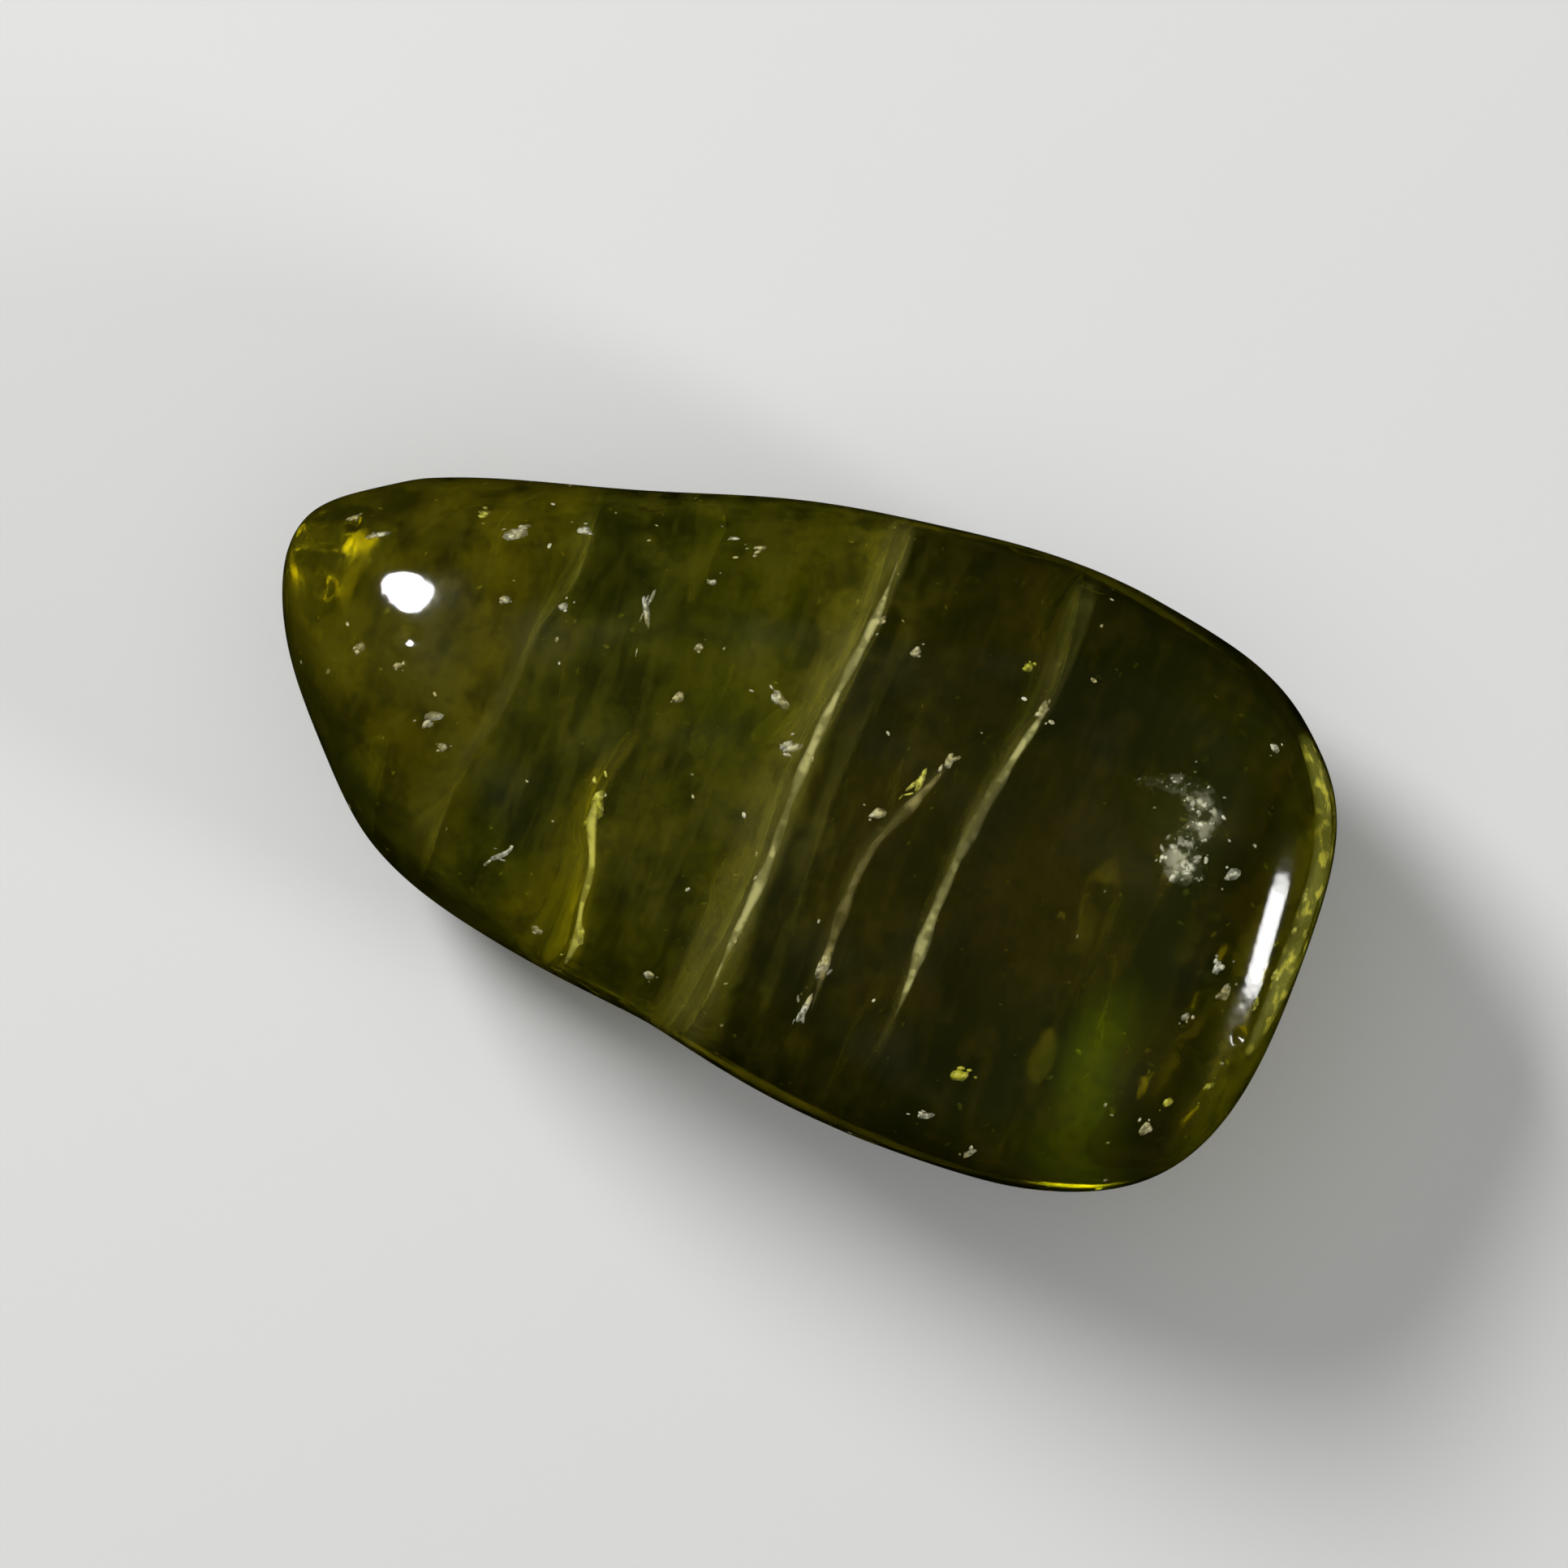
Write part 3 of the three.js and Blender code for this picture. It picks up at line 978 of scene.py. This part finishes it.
class CrackSettings(bpy.types.PropertyGroup):
    """Fineness of the cracks' sheets."""

    ripple: bpy.props.FloatProperty(
        name="Ripple", description="Height of the waves of a crack", default=0.03 * MM, subtype="DISTANCE"
    )
    spokes: bpy.props.IntProperty(name="Spokes", description="Points round each crack", default=120)
    rings: bpy.props.IntProperty(name="Rings", description="Rings of points in each crack", default=36)
    film: bpy.props.FloatProperty(
        name="Film", description="Thickness of a crack's film", default=0.04 * MM, subtype="DISTANCE"
    )
    skin: bpy.props.FloatProperty(
        name="Skin", description="Clear stone left between a crack and the surface", default=0.1 * MM, subtype="DISTANCE"
    )
    veil_density: bpy.props.FloatProperty(name="Bubbles", description="Bubbles for each square mm", default=1.4)
    wisp_count: bpy.props.IntProperty(name="Wisps", description="Number of small wisps tried", default=16)
    wisp_seed: bpy.props.IntProperty(name="Wisp seed", description="Seed of the small wisps' places", default=8)


class FleckSettings(bpy.types.PropertyGroup):
    """Sizes of the flecks inside the stone."""

    density: bpy.props.FloatProperty(name="Density", description="Flecks for each square mm of a shell", default=0.16)
    smallest: bpy.props.FloatProperty(name="Smallest", description="Half the length, in mm", default=0.03)
    largest: bpy.props.FloatProperty(name="Largest", description="Half the length, in mm", default=0.11)
    seed: bpy.props.IntProperty(name="Seed", description="Seed of the flecks' places", default=5)


class ScarSettings(bpy.types.PropertyGroup):
    """Number and sizes of the scar's crumbs."""

    crumbs: bpy.props.IntProperty(name="Crumbs", description="Number of crumbs in the scar", default=340)
    smallest: bpy.props.FloatProperty(name="Smallest", description="Length of the smallest, in mm", default=0.06)
    largest: bpy.props.FloatProperty(name="Largest", description="Length of the largest, in mm", default=0.26)
    seed: bpy.props.IntProperty(name="Seed", description="Seed of the crumbs' places", default=3)


class StageSettings(bpy.types.PropertyGroup):
    """The floor, the lights and the camera."""

    view_width: bpy.props.FloatProperty(
        name="View width", description="Width of the picture at the stone", default=0.038, subtype="DISTANCE"
    )
    distance: bpy.props.FloatProperty(
        name="Distance", description="Camera height above the stone", default=0.5, subtype="DISTANCE"
    )
    floor_colour: bpy.props.FloatVectorProperty(
        name="Floor", description="Colour of the floor", subtype="COLOR", size=4, default=(0.72, 0.72, 0.71, 1)
    )
    glints: bpy.props.FloatProperty(name="Glints", description="Brightness of the key and the strip", default=1.0)
    fill: bpy.props.FloatProperty(name="Fill", description="Brightness of the fill light", default=0.95)
    horizon: bpy.props.FloatProperty(name="Horizon", description="Brightness of the far backdrop", default=0.5)
    sky: bpy.props.FloatProperty(name="Sky", description="Brightness low in the sky", default=0.05)
    zenith: bpy.props.FloatProperty(name="Zenith", description="Brightness straight above", default=0.015)


class TourmalineOperator:
    """What the operators share: they build in one go and can be undone."""

    bl_options = {"REGISTER", "UNDO"}

    def execute(self, context):
        self.build(context.scene)
        return {"FINISHED"}


class OBJECT_OT_tourmaline_stone(TourmalineOperator, bpy.types.Operator):
    """Builds the clear stone with its worn and pitted surface"""

    bl_idname = "object.tourmaline_stone"
    bl_label = "Stone"

    def build(self, scene):
        settings = scene.tourmaline_stone
        form = WornForm()
        directions, quads = spread_directions(settings.cuts)
        stone = make_mesh("clear_stone", pitted(form, directions, settings), quads, clear_tourmaline(settings))
        finish_piece(stone, STONE_NODE)


class OBJECT_OT_tourmaline_cracks(TourmalineOperator, bpy.types.Operator):
    """Builds the healed cracks, the stained crack and the growth seam, with the bubbles on them"""

    bl_idname = "object.tourmaline_cracks"
    bl_label = "Cracks"

    def build(self, scene):
        settings = scene.tourmaline_cracks
        form = WornForm()
        looks = {
            "veil": veil("healed_veil", (0.42, 0.4, 0.1, 1), (0.85, 0.8, 0.3, 1), 0.75),
            "wisp": veil("faint_veil", (0.4, 0.4, 0.1, 1), (0.75, 0.72, 0.25, 1), 0.55),
            "stain": veil("golden_stain", (0.5, 0.46, 0.03, 1), (0.95, 0.88, 0.1, 1), 0.85),
        }
        lines = {
            "veil": thread("crack_line", (0.56, 0.53, 0.19, 1), 0.8),
            "wisp": thread("faint_line", (0.4, 0.34, 0.11, 1), 0.7),
            "stain": thread("golden_line", (0.7, 0.66, 0.1, 1), 0.7),
        }
        bubbles = fleck("bubbles", (0.75, 0.74, 0.5, 1), (0.6, 0.5, 0.15, 1))
        for seed, (name, crack) in enumerate(CRACKS.items()):
            points, faces = crack_layers(form, crack, settings)
            finish_piece(make_mesh(name, points, faces, looks[crack["look"]]))
            if crack["look"] != "wisp":
                copy = make_mesh("bubble_surface", points, faces, bubbles)
                finish_piece(scatter(f"bubbles_{name}", copy, bubbles, settings.veil_density, *BUBBLE_SIZES, 0.7, seed))
            if crack["thread"]:
                finish_piece(ribbon_piece(f"line_{name}", form, crack_line(crack), lines[crack["look"]]))
        points, faces = small_wisps(form, settings)
        finish_piece(make_mesh("small_wisps", points, faces, looks["wisp"]))


def crack_line(crack):
    """The line of a crack at the polish, as (x, y, width), narrower at its ends."""
    width, start, stop = crack["thread"]
    y = np.arange(start, stop, THREAD_STEP)
    share = (y - y[0]) / (y[-1] - y[0])
    taper = np.minimum(1, 6 * share * (1 - share) + 0.1)
    uneven = 1 + 0.35 * np.sin(3.1 * y) * np.cos(1.3 * y)
    return np.stack((smooth_along(np.array(crack["outcrop"]), y), y, width * taper * uneven), axis=1)


BUBBLE_SIZES = (0.02, 0.05)
THREAD_STEP = 0.12


class OBJECT_OT_tourmaline_flecks(TourmalineOperator, bpy.types.Operator):
    """Builds the bright and yellow flecks, partly painted glints, and the small ones scattered through the stone"""

    bl_idname = "object.tourmaline_flecks"
    bl_label = "Flecks"

    def build(self, scene):
        settings = scene.tourmaline_flecks
        form = WornForm()
        material = fleck("mineral_flecks", (0.74, 0.74, 0.54, 1), (0.56, 0.5, 0.2, 1))
        yellow = fleck("yellow_flecks", (0.75, 0.72, 0.1, 1), (0.5, 0.48, 0.02, 1))
        chance = np.random.default_rng(settings.seed)
        for name, rows, look in (("bright_flecks", BRIGHT_FLECKS_AND_GLINTS, material), ("yellow_flecks", YELLOW_FLECKS_AND_GLINTS, yellow)):
            shapes = [shape for row in rows for shape in fleck_cluster(form, row, chance)]
            finish_piece(make_mesh(name, *joined(shapes), look))
        directions, quads = spread_directions(SETTLE_CUTS)
        outside = form.surface(directions) + form.move
        quads = quads[outside[quads][:, :, 2].min(axis=1) > CLEAR_OF_REST]
        for number, (depth, tilt) in enumerate(FLECK_SHELLS):
            shell = make_mesh("fleck_shell", outside + unit(form.heart - outside) * depth, quads, material)
            name = f"small_flecks_{number + 1}"
            sizes = (settings.smallest, settings.largest)
            finish_piece(scatter(name, shell, material, settings.density, *sizes, tilt, settings.seed + number))


# The shells that the small flecks lie on: each one's depth, and the most that its flecks tilt, in radians.
FLECK_SHELLS = ((0.01, 0.1), (0.3, 0.7), (1.0, 0.7), (2.4, 0.7))
CLEAR_OF_REST = 0.5


class OBJECT_OT_tourmaline_scar(TourmalineOperator, bpy.types.Operator):
    """Builds the crumbs of the curled scar and the painted glow on the blunt end's rim"""

    bl_idname = "object.tourmaline_scar"
    bl_label = "Scar and worn rim"

    def build(self, scene):
        settings = scene.tourmaline_scar
        form = WornForm()
        finish_piece(make_mesh("curled_scar", *joined(scar_crumbs(form, settings)), scar_crumb()))
        films = (("scar_film", SCAR, FILM_SPREAD, scar_film()), ("worn_rim", PAINTED_RIM_GLOW_LINE, 1.0, worn_rim()))
        for name, table, spread, look in films:
            shares = np.linspace(0, len(table) - 1, FILM_STEPS)
            line = np.array([curve_point(np.array(table), share) for share in shares]) * (1, 1, spread)
            finish_piece(ribbon_piece(name, form, line, look))


def scar_crumbs(form, settings):
    """The scar's crumbs, thickest along the middle of its line and towards its end."""
    chance = np.random.default_rng(settings.seed)
    crumbs = []
    for share in chance.uniform(0, 1, settings.crumbs) ** LATE_CRUMBS:
        x, y, width = curve_point(np.array(SCAR), share * (len(SCAR) - 1))
        x, y = (x, y) + chance.normal(size=2) * width * CRUMB_SPREAD
        length = chance.uniform(settings.smallest, settings.largest) * (0.5 + width)
        turn, depth = chance.uniform(0, 180), chance.uniform(-0.01, 0.1)
        crumbs.append(set_fleck(form, x, y, length, length * chance.uniform(0.4, 0.8), turn, depth))
    return crumbs


# How far the crumbs stray in the line's widths, and how much more they gather at its end: 1 is evenly.
CRUMB_SPREAD = 0.34
LATE_CRUMBS = 0.7
FILM_SPREAD = 1.3
FILM_STEPS = 60


def ribbon_piece(name, form, line, material):
    """A ribbon as a piece, with the fade that its material reads."""
    piece = make_mesh(name, *ribbon(form, line), material)
    share = np.linspace(0, 1, len(line))
    ends = np.minimum(1, RIBBON_TAPER * share * (1 - share))
    sides = np.sin(np.linspace(0, 2 * np.pi, RIBBON_SIDES, endpoint=False)) ** 2
    fade = piece.data.attributes.new(FADE, "FLOAT", "POINT")
    fade.data.foreach_set("value", np.outer(ends, sides).ravel().astype(np.float32))
    return piece


RIBBON_TAPER = 12.0
RIBBON_HEIGHT = 0.03


def ribbon(form, line):
    """A low closed ribbon in the polish, along a line of (x, y, width): points and faces."""
    along = unit(np.gradient(line[:, :2], axis=0))
    around = np.linspace(0, 2 * np.pi, RIBBON_SIDES, endpoint=False)
    side = np.cos(around) * line[:, 2:] / 2
    x = line[:, :1] - along[:, 1:] * side
    y = line[:, 1:2] + along[:, :1] * side
    below = np.sin(around) * RIBBON_HEIGHT / -2
    z = form.top_at(x, y, np.broadcast_to(below, x.shape))
    points = np.stack((x, y, z), axis=-1).reshape(-1, 3)
    steps, faces = len(line), []
    for row in range(steps - 1):
        for side in range(RIBBON_SIDES):
            a = row * RIBBON_SIDES + side
            b = row * RIBBON_SIDES + (side + 1) % RIBBON_SIDES
            faces.append((a, a + RIBBON_SIDES, b + RIBBON_SIDES, b))
    faces.append(tuple(range(RIBBON_SIDES)))
    faces.append(tuple(reversed(range((steps - 1) * RIBBON_SIDES, steps * RIBBON_SIDES))))
    return points, faces


RIBBON_SIDES = 10


def curve_point(line, share):
    """A point of the smooth curve through the rows of a table, where share counts its rows."""
    row = min(int(share), len(line) - 2)
    t = share - row
    before, start = line[max(row - 1, 0)], line[row]
    stop, after = line[row + 1], line[min(row + 2, len(line) - 1)]
    bend = 2 * before - 5 * start + 4 * stop - after
    cubic = -before + 3 * start - 3 * stop + after
    return 0.5 * (2 * start + (stop - before) * t + bend * t**2 + cubic * t**3)


class OBJECT_OT_tourmaline_stage(TourmalineOperator, bpy.types.Operator):
    """Sets the floor, the lights, the background and the camera"""

    bl_idname = "object.tourmaline_stage"
    bl_label = "Stage"

    def build(self, scene):
        settings = scene.tourmaline_stage
        form = WornForm()
        make_floor(settings)
        make_lights(form, settings)
        make_background(scene, settings)
        make_camera(scene, settings)
        scene.view_settings.view_transform = "Standard"
        scene.cycles.max_bounces = 12
        scene.cycles.diffuse_bounces = 2
        scene.cycles.transmission_bounces = 12
        scene.cycles.transparent_max_bounces = 16


def make_floor(settings):
    """A wide round floor, a hair below the stone's rest."""
    look = Look("pale_floor")
    look.set(colour=settings.floor_colour, roughness=0.65, specular=0.2)
    angles = np.linspace(0, 2 * np.pi, 96, endpoint=False)
    ring = np.stack((np.cos(angles), np.sin(angles), np.zeros(96)), axis=1) * FLOOR_RADIUS
    floor = make_mesh("floor", ring - (0, 0, FLOOR_GAP), [tuple(range(96))], look.material)
    floor.visible_glossy = False


FLOOR_RADIUS = 4000.0
FLOOR_GAP = 0.02


def add_light(name, turn, distance, size, radiance):
    """An elliptical area light that faces the stone. turn's columns are the light's own axes, its back last."""
    data = bpy.data.lights.new(name, "AREA")
    data.shape = "ELLIPSE"
    data.size, data.size_y = (span * distance for span in size)
    data.energy = radiance * math.pi * (math.pi / 4 * data.size * data.size_y)
    light = bpy.data.objects.new(name, data)
    light.matrix_world = Matrix.LocRotScale(turn.col[2] * distance, turn.to_quaternion(), None)
    bpy.context.collection.objects.link(light)
    return light


def mirrored(form, plan, camera):
    """A point of the top, and the direction whose light it sends to the camera, in millimetres."""
    point = np.array((*plan, float(form.top_at(*plan))))
    normal = form.normal_at(point)
    view = unit(camera - point)
    return point, 2 * (normal @ view) * normal - view


def add_glint(form, name, glint, settings):
    """A row of overlapping lights, each shaped so that the camera sees it as an ellipse on the top."""
    camera = np.array((0, 0, settings.distance / MM + STRETCH[2]))
    turn = math.radians(glint["turn"])
    across = np.array(((math.cos(turn), math.sin(turn)), (-math.sin(turn), math.cos(turn))))
    width, length = glint["size"]
    step = length / (glint["pieces"] + GLINT_OVERLAP - 1)
    half = across * np.array(((width,), (step * GLINT_OVERLAP,))) / 2
    for piece in range(glint["pieces"]):
        middle = glint["at"] + across[1] * step * (piece - (glint["pieces"] - 1) / 2)
        point, back = mirrored(form, middle, camera)
        spans = [mirrored(form, middle + side, camera)[1] - mirrored(form, middle - side, camera)[1] for side in half]
        axes, size, _ = np.linalg.svd(np.array(spans).T, full_matrices=False)
        first = unit(axes[:, 0] - back * (axes[:, 0] @ back))
        facing = Matrix(np.stack((first, np.cross(back, first), back), axis=1).tolist())
        light = add_light(f"{name}_{piece}", facing, GLINT_DISTANCE, size, glint["radiance"] * settings.glints)
        light.location += Vector(point * MM)


GLINT_DISTANCE = 0.3
GLINT_OVERLAP = 2


def make_lights(form, settings):
    """A key and a strip, both placed by their reflections, and a wide soft fill that only dull surfaces show."""
    add_glint(form, "key", KEY_GLINT, settings)
    add_glint(form, "strip", STRIP_GLINT, settings)
    fill = add_light("fill", Matrix.Identity(3), 1.0, (1.2, 1.2), settings.fill)
    fill.visible_glossy = False


def make_background(scene, settings):
    """A pale far backdrop under a dark sky, which the polish doesn't mirror, so that it stays clear."""
    world = bpy.data.worlds.new("studio")
    world.use_nodes = True
    world.cycles_visibility.glossy = False
    scene.world = world
    tree = world.node_tree
    place = tree.nodes.new("ShaderNodeTexCoord")
    split = tree.nodes.new("ShaderNodeSeparateXYZ")
    ramp = tree.nodes.new("ShaderNodeValToRGB")
    stops = [(height, getattr(settings, name)) for height, name in BACKDROP]
    while len(ramp.color_ramp.elements) < len(stops):
        ramp.color_ramp.elements.new(1.0)
    for element, (height, grey) in zip(ramp.color_ramp.elements, stops):
        element.position = height
        element.color = (grey, grey, grey, 1)
    tree.links.new(place.outputs["Generated"], split.inputs[0])
    tree.links.new(split.outputs["Z"], ramp.inputs["Fac"])
    tree.links.new(ramp.outputs["Color"], tree.nodes["Background"].inputs["Color"])


# Heights in the sky, from 0 at the horizon and below it to 1 overhead, and the brightness that each one has.
BACKDROP = ((0.0, "horizon"), (0.06, "horizon"), (0.3, "sky"), (0.75, "zenith"))


def make_camera(scene, settings):
    """A camera straight above, turned as the photograph is."""
    data = bpy.data.cameras.new("camera")
    data.sensor_width = 36.0
    data.lens = data.sensor_width * settings.distance / settings.view_width
    data.clip_start = 0.005
    camera = bpy.data.objects.new("camera", data)
    camera.location = (0, 0, settings.distance + STRETCH[2] * MM)
    camera.rotation_euler = (0, 0, math.radians(PHOTO_TURN))
    bpy.context.collection.objects.link(camera)
    scene.camera = camera


class VIEW3D_PT_tourmaline(bpy.types.Panel):
    """Lists the steps that build the tourmaline"""

    bl_label = "Tourmaline"
    bl_space_type = "VIEW_3D"
    bl_region_type = "UI"
    bl_category = "Tourmaline"

    def draw(self, context):
        for group, operator in STEPS:
            box = self.layout.box()
            box.operator(operator.bl_idname)
            settings = getattr(context.scene, group, None)
            for name in settings.__annotations__ if settings else ():
                box.prop(settings, name)


STEPS = (
    ("tourmaline_stone", OBJECT_OT_tourmaline_stone),
    ("tourmaline_cracks", OBJECT_OT_tourmaline_cracks),
    ("tourmaline_flecks", OBJECT_OT_tourmaline_flecks),
    ("tourmaline_scar", OBJECT_OT_tourmaline_scar),
    ("tourmaline_stage", OBJECT_OT_tourmaline_stage),
)
GROUPS = {
    "tourmaline_stone": StoneSettings,
    "tourmaline_cracks": CrackSettings,
    "tourmaline_flecks": FleckSettings,
    "tourmaline_scar": ScarSettings,
    "tourmaline_stage": StageSettings,
}


def register():
    for name, group in GROUPS.items():
        bpy.utils.register_class(group)
        setattr(bpy.types.Scene, name, bpy.props.PointerProperty(type=group))
    for _, operator in STEPS:
        bpy.utils.register_class(operator)
    bpy.utils.register_class(VIEW3D_PT_tourmaline)


def unregister():
    bpy.utils.unregister_class(VIEW3D_PT_tourmaline)
    for _, operator in reversed(STEPS):
        bpy.utils.unregister_class(operator)
    for name, group in GROUPS.items():
        delattr(bpy.types.Scene, name)
        bpy.utils.unregister_class(group)


def main():
    register()
    bpy.ops.object.tourmaline_stone()
    bpy.ops.object.tourmaline_cracks()
    bpy.ops.object.tourmaline_flecks()
    bpy.ops.object.tourmaline_scar()
    bpy.ops.object.tourmaline_stage()


if __name__ == "__main__":
    main()
